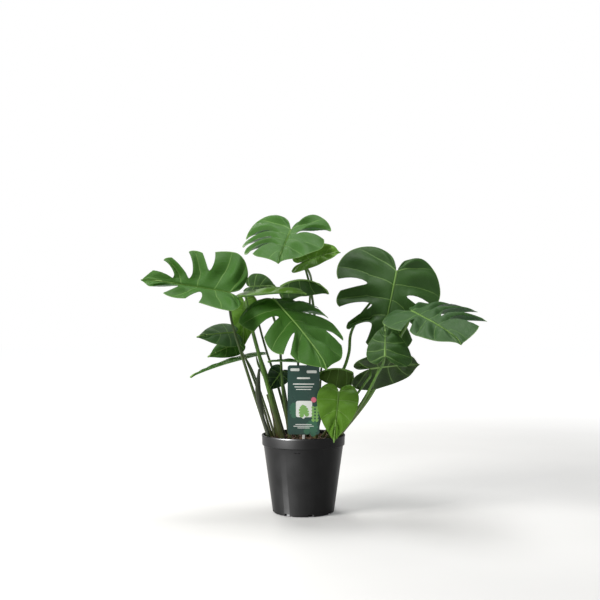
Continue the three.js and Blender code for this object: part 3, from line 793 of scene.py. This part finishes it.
def leaf_relief(leaf, side, finger, s, t, across, rib, midrib, flat, away):
    """Grooves along the ribs, a puffed skin between them and a soft ripple at the margin. All but
    the midrib's groove dies away at the midrib, so that the halves meet, and every part is the same
    on both sides of a finger's border."""
    strength = leaf.get("relief", 1)
    last = finger == LAST_FINGER
    inside = np.sin(np.pi * np.clip(t, 0, 1))
    wave = np.cos(2 * np.pi * (across - 0.5))
    fade = 1 - eased(across / 0.6) if last else 1
    # The node's own wave is taken back near the midrib and made higher away from it.
    lift = SKIN_WAVE - (SKIN_WAVE + 0.016 * strength) * eased(t / 0.4) * fade
    puff = lift * away * wave * inside
    groove = (0.002 if last else 0.006) * (1 - (2 * across - 1) ** 2)
    groove = groove * away * np.exp(-((rib / 0.014) ** 2)) * inside**0.5
    spine = 0.011 * np.exp(-((midrib / 0.016) ** 2)) * away
    # Each half of each leaf ripples from a start of its own.
    start = 0.37 * sum(abs(value) for value in leaf["way"]) + (3.1 if side < 0 else 0.0)
    x, y = flat[..., 0], flat[..., 1]
    ripple = 0.007 * t**3 * np.sin(26 * s + start) + 0.006 * t**2 * np.sin(11 * s + 2 * start)
    swell = 0.004 * np.sin(17 * x + start) * np.sin(13 * y + 2 * start)
    chevron = 0.0014 * np.sin(150 * (y - 0.55 * x) + 3 * np.sin(9 * x + start)) * inside
    return puff + strength * away * eased(x / 0.1) * (ripple + swell + chevron) - groove - spine


def leaf_sheet(name, rows, columns):
    """The upper side of a leaf as an open sheet. On its vertices, "rib" holds the distances to the
    rib, to the midrib and along the rib in millimetres, and "place" the flat place and t."""
    leaf = LEAVES[name]
    scale, shift = leaf_fit(name)
    millimetres = scale / MM
    bm = bmesh.new()
    rib_layer = bm.verts.layers.float_vector.new("rib")
    place_layer = bm.verts.layers.float_vector.new("place")
    for side in (-1, 1):
        for finger in range(FINGERS):
            grid = bmesh.ops.create_grid(bm, x_segments=columns, y_segments=rows, size=0.5)
            verts = grid["verts"]
            place = np.array([[v.co.x, v.co.y] for v in verts]) + 0.5
            # The columns crowd towards the rib, and the rows towards the midrib.
            from_rib = 2 * place[:, 0] - 1
            across = 0.5 + 0.5 * np.sign(from_rib) * np.abs(from_rib) ** 1.5
            t = place[:, 1] ** 1.25
            spots, *ribs, flat = finger_points(leaf, side, finger, across, t, leaf_relief)
            for v, spot, to_rib, to_midrib, along, (x, y), out in zip(
                verts, spots * scale + shift, *ribs, flat, t
            ):
                v.co = spot
                v[rib_layer] = [reach * millimetres for reach in (to_rib, to_midrib, along)]
                v[place_layer] = (x, y, out)
            if side > 0:
                faces = {face for v in verts for face in v.link_faces}
                bmesh.ops.reverse_faces(bm, faces=list(faces))
    bmesh.ops.remove_doubles(bm, verts=bm.verts, dist=FINGER_MERGE)
    bmesh.ops.dissolve_degenerate(bm, edges=bm.edges, dist=MERGE)
    return as_mesh("leaf_sheet_" + name, bm)


def thickened_leaf(name, mesh, thin, thick):
    """A leaf with its lower side: thick along the midrib, a little at the ribs, thin elsewhere."""
    carrier = placed(name, mesh)
    group = carrier.vertex_groups.new(name="body")
    rib = mesh.attributes["rib"].data
    place = mesh.attributes["place"].data
    for index in range(len(mesh.vertices)):
        to_rib, to_spine, _ = rib[index].vector
        _, y, t = place[index].vector
        spine = math.exp(-((to_spine / 1.7) ** 2)) * max(0.0, 1 - 1.3 * max(0.0, y))
        vein = 0.24 * math.exp(-(to_rib**2)) * max(0.0, 1 - t) ** 0.6 * max(0.0, 1 - 1.2 * y)
        group.add([index], max(spine, vein), "REPLACE")
    return applied(
        carrier, name, "SOLIDIFY", thickness=thick, offset=-1.0, vertex_group="body",
        thickness_vertex_group=thin / thick, material_offset=1, use_even_offset=False,
        use_quality_normals=True,
    )


class PLANT_OT_leaves(bpy.types.Operator):
    """Grow the leaves over their nodes"""

    bl_idname = "plant.leaves"
    bl_label = "Leaves"

    def execute(self, context):
        sizes = context.scene.plant_sizes
        skins = {}
        for tone, colours in TONES.items():
            skins[tone] = [
                leaf_finish(f"leaf_{tone}_upper", colours, False),
                leaf_finish(f"leaf_{tone}_lower", colours, True),
            ]
        for name, leaf in LEAVES.items():
            sheet = leaf_sheet(name, sizes.leaf_rows, sizes.leaf_columns)
            for material in skins[leaf["tone"]]:
                sheet.materials.append(material)
            blade = "blade_" + name
            mesh = thickened_leaf(blade, sheet, sizes.leaf_thickness, sizes.rib_thickness)
            finish_piece(blade, mesh, None, "leaf", "leaf_" + name, sharp=60)
        return {"FINISHED"}


# ---------------------------------------------------------------- stalks

# How far a stalk runs on past its node's end, into its leaf.
INTO_LEAF = 0.0009


class PLANT_OT_stalks(bpy.types.Operator):
    """Draw the leaves' stalks along their nodes"""

    bl_idname = "plant.stalks"
    bl_label = "Stalks"

    def execute(self, context):
        fresh, dull, dark = (
            stalk_finish(f"stalk_{name}", shade)
            for name, shade in (("fresh", 0), ("dull", 0.5), ("dark", 0.9))
        )
        skins = dict.fromkeys(("left", "silver", "under", "dome", "sill", "back", "dark"), dark)
        skins |= dict.fromkeys(("front", "spear", "glow", "arch", "crest", "top"), dull)
        for name in LEAVES:
            stalk, node = "stalk_" + name, "petiole_" + name
            bm = tube(stalk, centre_line(node), 72, reach=INTO_LEAF)
            skin = skins.get(name, fresh)
            finish_piece(stalk, as_mesh(stalk, bm), [skin], "petiole", node, sharp=60)
        return {"FINISHED"}


class PLANT_OT_growth(bpy.types.Operator):
    """Finish the sheathed base and the rolled leaf"""

    bl_idname = "plant.growth"
    bl_label = "Crown and rolled leaf"

    def execute(self, context):
        flute_depth = 0.0009
        for node, skin in (("crown", husk_finish()), ("rolled_leaf", rolled_finish())):
            name = node + "_skin"
            bm = tube(name, centre_line(node), 60, sides=10)
            for v in bm.verts:
                flute = noise.noise(Vector((v.co.x * 160, v.co.y * 160, v.co.z * 26)))
                v.co += v.normal * flute_depth * flute
            finish_piece(name, as_mesh(name, bm), [skin], node, node, sharp=60)
        return {"FINISHED"}


# ---------------------------------------------------------------- pot, soil and label

class PLANT_OT_pot(bpy.types.Operator):
    """Turn the nursery pot with its band and drainage cuts"""

    bl_idname = "plant.pot"
    bl_label = "Pot"

    def execute(self, context):
        sizes = context.scene.plant_sizes
        _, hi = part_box("pot")
        rim, height = hi[0], hi[2]
        wall, step, foot, floor = sizes.pot_wall, sizes.pot_step, sizes.pot_foot, sizes.pot_floor
        # The neck is the wall just under the band, and band is the height of the band's lower edge.
        neck, band = rim - sizes.pot_flare - step, height - sizes.pot_band
        outside = [
            (0, 0.0008), (foot - 0.012, 0.0008), (foot - 0.0105, 0), (foot - 0.002, 0),
            (foot - 0.0006, 0.0005), (foot, 0.002),
            (neck, band - 0.001), (neck + 0.0006, band - 0.0003),
            (neck + step - 0.0005, band + 0.0004), (neck + step, band + 0.0012),
            (rim - 0.0005, height - 0.004), (rim, height - 0.003), (rim, height - 0.0008),
            (rim - 0.0003, height - 0.0002), (rim - 0.0008, height),
        ]
        inside = [
            (rim - wall - 0.0006, height), (rim - wall - 0.001, height - 0.0006),
            (neck + step - wall, band + 0.002), (neck - wall, band), (foot - wall, floor),
            (0, floor),
        ]
        bm = turned(outside + inside, 160)
        bmesh.ops.recalc_face_normals(bm, faces=bm.faces)
        body = placed("nursery_pot_body", as_mesh("nursery_pot_body", bm))
        cuts = self.drain_cuts(foot)
        mesh = applied(
            body, "nursery_pot", "BOOLEAN", operation="DIFFERENCE", solver="EXACT", object=cuts
        )
        bpy.data.objects.remove(cuts)
        plastic = pot_finish()
        finish_piece("nursery_pot", mesh, [plastic], "pot", "pot", sharp=35)
        finish_piece("pot_marks", self.marks(neck, band), [plastic], "pot")
        return {"FINISHED"}

    def drain_cuts(self, foot):
        """The blocks that cut eight drainage openings out of the foot."""
        bm = bmesh.new()
        place = Matrix.Translation((foot - 0.0015, 0, 0.0015))
        for k in range(8):
            turn = Matrix.Rotation(math.radians((k + 0.3) * 45), 4, "Z")
            add_block(bm, turn @ place, (0.009, 0.012, 0.007), 0.0012, 3)
        return placed("drain_cuts", as_mesh("drain_cuts", bm))

    def marks(self, neck, band):
        """Two short moulded marks under the band."""
        bm = bmesh.new()
        place = Matrix.Translation((0, -neck + 0.0016, band - 0.0072))
        for turn in (-0.2, -0.11):
            add_block(
                bm, Matrix.Rotation(turn, 4, "Z") @ place, (0.0042, 0.0022, 0.0013), 0.0003, 2
            )
        return as_mesh("pot_marks", bm)


class PLANT_OT_soil(bpy.types.Operator):
    """Fill the pot with potting mix and bark"""

    bl_idname = "plant.soil"
    bl_label = "Soil"

    def execute(self, context):
        lo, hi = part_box("soil")
        clear_of_pot, lump_height, dip_at_wall = 0.0003, 0.0022, 0.0015
        radius, top, foot = hi[0] - clear_of_pot, hi[2], lo[2] + 0.02
        profile = [(0, top), (radius, top), (radius, top - 0.009), (radius * 0.8, foot), (0, foot)]
        bm = turned(profile, 96)
        surface = [e for e in bm.edges if all(abs(v.co.z - top) < MERGE for v in e.verts)]
        bmesh.ops.subdivide_edges(bm, edges=surface, cuts=24, use_grid_fill=True)
        for v in bm.verts:
            if abs(v.co.z - top) < MERGE:
                reach = math.hypot(v.co.x, v.co.y) / radius
                lump = noise.fractal(v.co * 70, 0.9, 2.1, 4)
                v.co.z += lump_height * lump - dip_at_wall * reach**4
        bmesh.ops.recalc_face_normals(bm, faces=bm.faces)
        ground = soil_finish("potting_mix", (0.018, 0.011, 0.007), (0.055, 0.034, 0.02), 0.0016)
        finish_piece("potting_mix", as_mesh("potting_mix", bm), [ground], "soil", "soil")
        chips = self.chips(radius, top, context.scene.plant_sizes.chip_count)
        bark = soil_finish("bark", (0.05, 0.026, 0.013), (0.16, 0.09, 0.05), 0.001)
        finish_piece("bark_chips", chips, [bark], "soil")
        return {"FINISHED"}

    def chips(self, radius, top, count):
        """Loose bark lying on the mix, clear of the pot."""
        most_tilt, roughness = 0.5, 0.28
        draw = random.Random(17)
        bm = bmesh.new()
        for _ in range(count):
            length = draw.uniform(0.005, 0.015)
            width = draw.uniform(0.003, 0.008)
            depth = draw.uniform(0.0016, 0.0042)
            reach = (radius - 0.008) * math.sqrt(draw.random())
            turn = draw.uniform(0, FULL_TURN)
            spin = Matrix.Rotation(draw.uniform(0, FULL_TURN), 4, "Z")
            tilt = Matrix.Rotation(draw.uniform(-most_tilt, most_tilt), 4, "X")
            lean = Matrix.Rotation(draw.uniform(-most_tilt, most_tilt), 4, "Y")
            height = top + draw.uniform(-0.0005, 0.0022)
            spot = (reach * math.cos(turn), reach * math.sin(turn), height)
            place = Matrix.Translation(spot) @ (spin @ tilt)
            size = Matrix.Diagonal((length, width, depth, 1))
            kept = len(bm.verts)
            made = bmesh.ops.create_cube(bm, size=1, matrix=place @ lean @ size)
            edges = list({e for v in made["verts"] for e in v.link_edges})
            bmesh.ops.subdivide_edges(bm, edges=edges, cuts=1, use_grid_fill=True)
            bm.verts.ensure_lookup_table()
            for v in bm.verts[kept:]:
                v.co += Vector([draw.uniform(-1, 1) * depth * roughness for _ in range(3)])
        bmesh.ops.recalc_face_normals(bm, faces=bm.faces)
        return as_mesh("bark_chips", bm)


def plate(bm, outline, thickness, y_front):
    """A flat plate in the XZ plane from an outline of (x, z), its front at y_front."""
    verts = [bm.verts.new((x, y_front, z)) for x, z in outline]
    face = bm.faces.new(verts)
    pushed = bmesh.ops.extrude_face_region(bm, geom=[face])
    moved = [item for item in pushed["geom"] if isinstance(item, bmesh.types.BMVert)]
    bmesh.ops.translate(bm, verts=moved, vec=(0, thickness, 0))
    bmesh.ops.recalc_face_normals(bm, faces=bm.faces)


def rounded(x0, z0, x1, z1, corner, steps=8):
    """The outline of a rectangle with rounded corners."""
    left, right, low, high = x0 + corner, x1 - corner, z0 + corner, z1 - corner
    points = []
    for quarter, (x, z) in enumerate(((right, high), (left, high), (left, low), (right, low))):
        for k in range(steps + 1):
            angle = math.radians(90 * quarter + 90 * k / steps)
            points.append((x + corner * math.cos(angle), z + corner * math.sin(angle)))
    return points


def leaf_outline(x, z, length, turn, slots=True):
    """The outline of a small split leaf for the label's print, stalk end at (x, z)."""
    share = np.linspace(0, 1, 61)
    half = along_spline(BROAD, share)
    if slots:
        notches = sum(np.exp(-(((share - at) / 0.014) ** 2)) for at in (0.46, 0.57, 0.68, 0.78))
        cut = 1 - 0.34 * notches
        half = half * np.stack([cut, np.ones_like(cut)], -1)
    right = [tuple(point) for point in half]
    left = [(-px, py) for px, py in reversed(right[:-1])]
    c, s = math.cos(turn), math.sin(turn)
    return [
        (x + length * (px * c - py * s), z + length * (px * s + py * c)) for px, py in right + left
    ]


class PLANT_OT_label(bpy.types.Operator):
    """Print the label card and set it on its stake"""

    bl_idname = "plant.label"
    bl_label = "Label"

    def execute(self, context):
        lo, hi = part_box("label_card")
        front, depth = lo[1], hi[1] - lo[1]
        bm = bmesh.new()
        plate(bm, rounded(lo[0], lo[2], hi[0], hi[2], 0.005), depth, front)
        ground = print_finish("card_ground", tuple(context.scene.plant_colours.card), 0.3)
        card = as_mesh("printed_card", bm)
        finish_piece("printed_card", card, [ground], "label", "label_card")
        self.prints(lo, hi, front)
        lo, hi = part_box("label_stake")
        bm = bmesh.new()
        middle = [(low + high) / 2 for low, high in zip(lo, hi)]
        size = [high - low for low, high in zip(lo, hi)]
        add_block(bm, Matrix.Translation(middle), size, 0.0005, 3)
        plastic = print_finish("stake_plastic", (0.8, 0.8, 0.77), 0.4, 0.03)
        stake = as_mesh("stake_strip", bm)
        finish_piece("stake_strip", stake, [plastic], "stake", "label_stake")
        return {"FINISHED"}

    def prints(self, lo, hi, front):
        """The generic print: plain bars, a square with a leaf, a badge and a leaf pattern."""
        x, height = (lo[0] + hi[0]) / 2, hi[2] - lo[2]

        def up(share):
            return lo[2] + share * height

        def bar(left, right, low, high, corner, steps=4):
            return rounded(x + left, up(low), x + right, up(high), corner, steps)

        # The badge's radius, and the length of the leaflets on the sprig below it.
        badge, sprig = 0.0052, 0.0052
        round_turn = np.linspace(0, FULL_TURN, 33)[:-1]
        # Each print has its colour, how far it stands out of the card, and its outlines.
        prints = {
            "print_pattern": ((0.03, 0.13, 0.07), 0.00003, [
                leaf_outline(lo[0] + 0.0175, up(0.31), 0.022, 0.35),
                leaf_outline(hi[0] - 0.018, up(0.05), 0.024, -0.3),
            ]),
            "print_light": ((0.78, 0.8, 0.76), 0.00006, [
                bar(-0.013, 0.013, 0.8, 0.825, 0.0015),
                bar(-0.021, 0.021, 0.72, 0.735, 0.001),
                bar(-0.018, 0.018, 0.68, 0.692, 0.0008),
                bar(-0.015, 0.015, 0.645, 0.655, 0.0006),
                bar(-0.015, 0.017, 0.25, 0.485, 0.004, 8),
                [(x - 0.006, up(0.252)), (x, up(0.225)), (x + 0.004, up(0.252))],
                bar(-0.026, -0.008, 0.915, 0.955, 0.0018),
                bar(0.006, 0.026, 0.885, 0.925, 0.0018),
                bar(-0.016, 0.016, 0.14, 0.149, 0.0005),
                bar(-0.02, 0.02, 0.115, 0.124, 0.0005),
                bar(-0.012, 0.012, 0.09, 0.099, 0.0005),
            ]),
            "print_green": ((0.2, 0.42, 0.1), 0.00009, [
                leaf_outline(x + 0.001, up(0.3), 0.018, 0.15),
                *(
                    leaf_outline(x + 0.0225 + shift, up(0.2 + 0.045 * k), sprig, turn, False)
                    for k in range(5)
                    for shift, turn in ((-0.0025, 1.0), (0.0025, -1.0))
                ),
            ]),
            "print_pink": ((0.75, 0.16, 0.24), 0.00009, [
                [
                    (x + 0.02 + badge * math.cos(angle), up(0.5) + badge * math.sin(angle))
                    for angle in round_turn
                ],
            ]),
        }
        for name, (colour, lift, outlines) in prints.items():
            bm = bmesh.new()
            for outline in outlines:
                plate(bm, outline, lift, front - lift)
            finish_piece(name, as_mesh(name, bm), [print_finish(name + "_ink", colour)], "label")


# ---------------------------------------------------------------- stage

class PLANT_OT_stage(bpy.types.Operator):
    """Lay the floor, hang the lights and set the camera"""

    bl_idname = "plant.stage"
    bl_label = "Stage"

    def execute(self, context):
        bm = bmesh.new()
        bmesh.ops.create_circle(bm, cap_ends=True, radius=14, segments=96)
        bmesh.ops.translate(bm, verts=bm.verts, vec=(0, 0, -0.0005))
        floor = placed("floor", as_mesh("floor", bm))
        floor.data.materials.append(floor_finish())
        self.light("key", (-1.8, -1.3, 2.0), (0, 0, 0.35), (0.9, 0.9), 66, (1, 0.985, 0.96))
        self.light("fill", (2.1, -0.8, 1.1), (0, 0, 0.2), (0.4, 1.5), 9, (0.96, 0.98, 1))
        strip = self.light(
            "strip", (-1.15, -1.05, 0.14), (0, 0, 0.08), (0.09, 0.26), 650, (1, 1, 1)
        )
        # The strip only draws the long highlight down the pot.
        strip.visible_diffuse = False
        strip.light_linking.receiver_collection = bpy.data.collections.new("pot_only")
        strip.light_linking.receiver_collection.objects.link(bpy.data.objects["nursery_pot"])
        self.light("above", (0.1, 0.3, 2.6), (0, 0, 0.3), (1.2, 1.2), 46, (1, 1, 1))
        self.light("behind", (-0.9, 2.1, 1.5), (0, 0, 0.4), (1.2, 1.2), 28, (1, 0.99, 0.95))
        self.backdrop(context.scene)
        context.scene.view_settings.view_transform = "Standard"
        data = bpy.data.cameras.new("camera")
        data.sensor_width, data.lens = 36, 52.7
        camera = placed("camera", data)
        camera.location = (-0.007, -1.8, 0.377)
        camera.rotation_euler = (math.radians(91.67), 0, 0)
        context.scene.camera = camera
        return {"FINISHED"}

    def backdrop(self, scene):
        """A white backdrop that gives only a weak, cool light of its own."""
        world = bpy.data.worlds.new("studio")
        scene.world = world
        world.use_nodes = True
        tree = world.node_tree
        soft = tree.nodes["Background"]
        soft.inputs["Color"].default_value = (0.92, 0.94, 0.96, 1)
        soft.inputs["Strength"].default_value = 0.22
        backdrop = tree.nodes.new("ShaderNodeBackground")
        backdrop.inputs["Color"].default_value = (1, 1, 1, 1)
        seen = tree.nodes.new("ShaderNodeLightPath")
        both = tree.nodes.new("ShaderNodeMixShader")
        tree.links.new(seen.outputs["Is Camera Ray"], both.inputs[0])
        tree.links.new(soft.outputs[0], both.inputs[1])
        tree.links.new(backdrop.outputs[0], both.inputs[2])
        tree.links.new(both.outputs[0], tree.nodes["World Output"].inputs["Surface"])

    def light(self, name, place, target, size, power, colour):
        """A rectangular lamp at a place, turned to a target, that the camera doesn't see."""
        data = bpy.data.lights.new(name, "AREA")
        data.shape, data.energy, data.color = "RECTANGLE", power, colour
        data.size, data.size_y = size
        lamp = placed(name, data)
        lamp.location = place
        lamp.rotation_euler = (Vector(target) - Vector(place)).to_track_quat("-Z", "Y").to_euler()
        lamp.visible_camera = False
        return lamp


# ---------------------------------------------------------------- panel and run

class PLANT_PT_panel(bpy.types.Panel):
    """Sizes, colours and pieces of the plant"""

    bl_idname = "PLANT_PT_panel"
    bl_label = "Split-leaf plant"
    bl_space_type = "VIEW_3D"
    bl_region_type = "UI"
    bl_category = "Plant"

    def draw(self, context):
        layout = self.layout
        for group in (context.scene.plant_sizes, context.scene.plant_colours):
            for name in group.__annotations__:
                layout.prop(group, name)
        for operator in OPERATORS:
            layout.operator(operator.bl_idname)


OPERATORS = (
    PLANT_OT_pot, PLANT_OT_soil, PLANT_OT_label, PLANT_OT_growth, PLANT_OT_stalks, PLANT_OT_leaves,
    PLANT_OT_stage,
)
CLASSES = (PlantSizes, PlantColours, *OPERATORS, PLANT_PT_panel)


def register():
    for cls in CLASSES:
        bpy.utils.register_class(cls)
    bpy.types.Scene.plant_sizes = PointerProperty(type=PlantSizes)
    bpy.types.Scene.plant_colours = PointerProperty(type=PlantColours)


def unregister():
    del bpy.types.Scene.plant_colours
    del bpy.types.Scene.plant_sizes
    for cls in reversed(CLASSES):
        bpy.utils.unregister_class(cls)


def main():
    register()
    for operator in OPERATORS:
        group, name = operator.bl_idname.split(".")
        getattr(getattr(bpy.ops, group), name)()


if __name__ == "__main__":
    main()
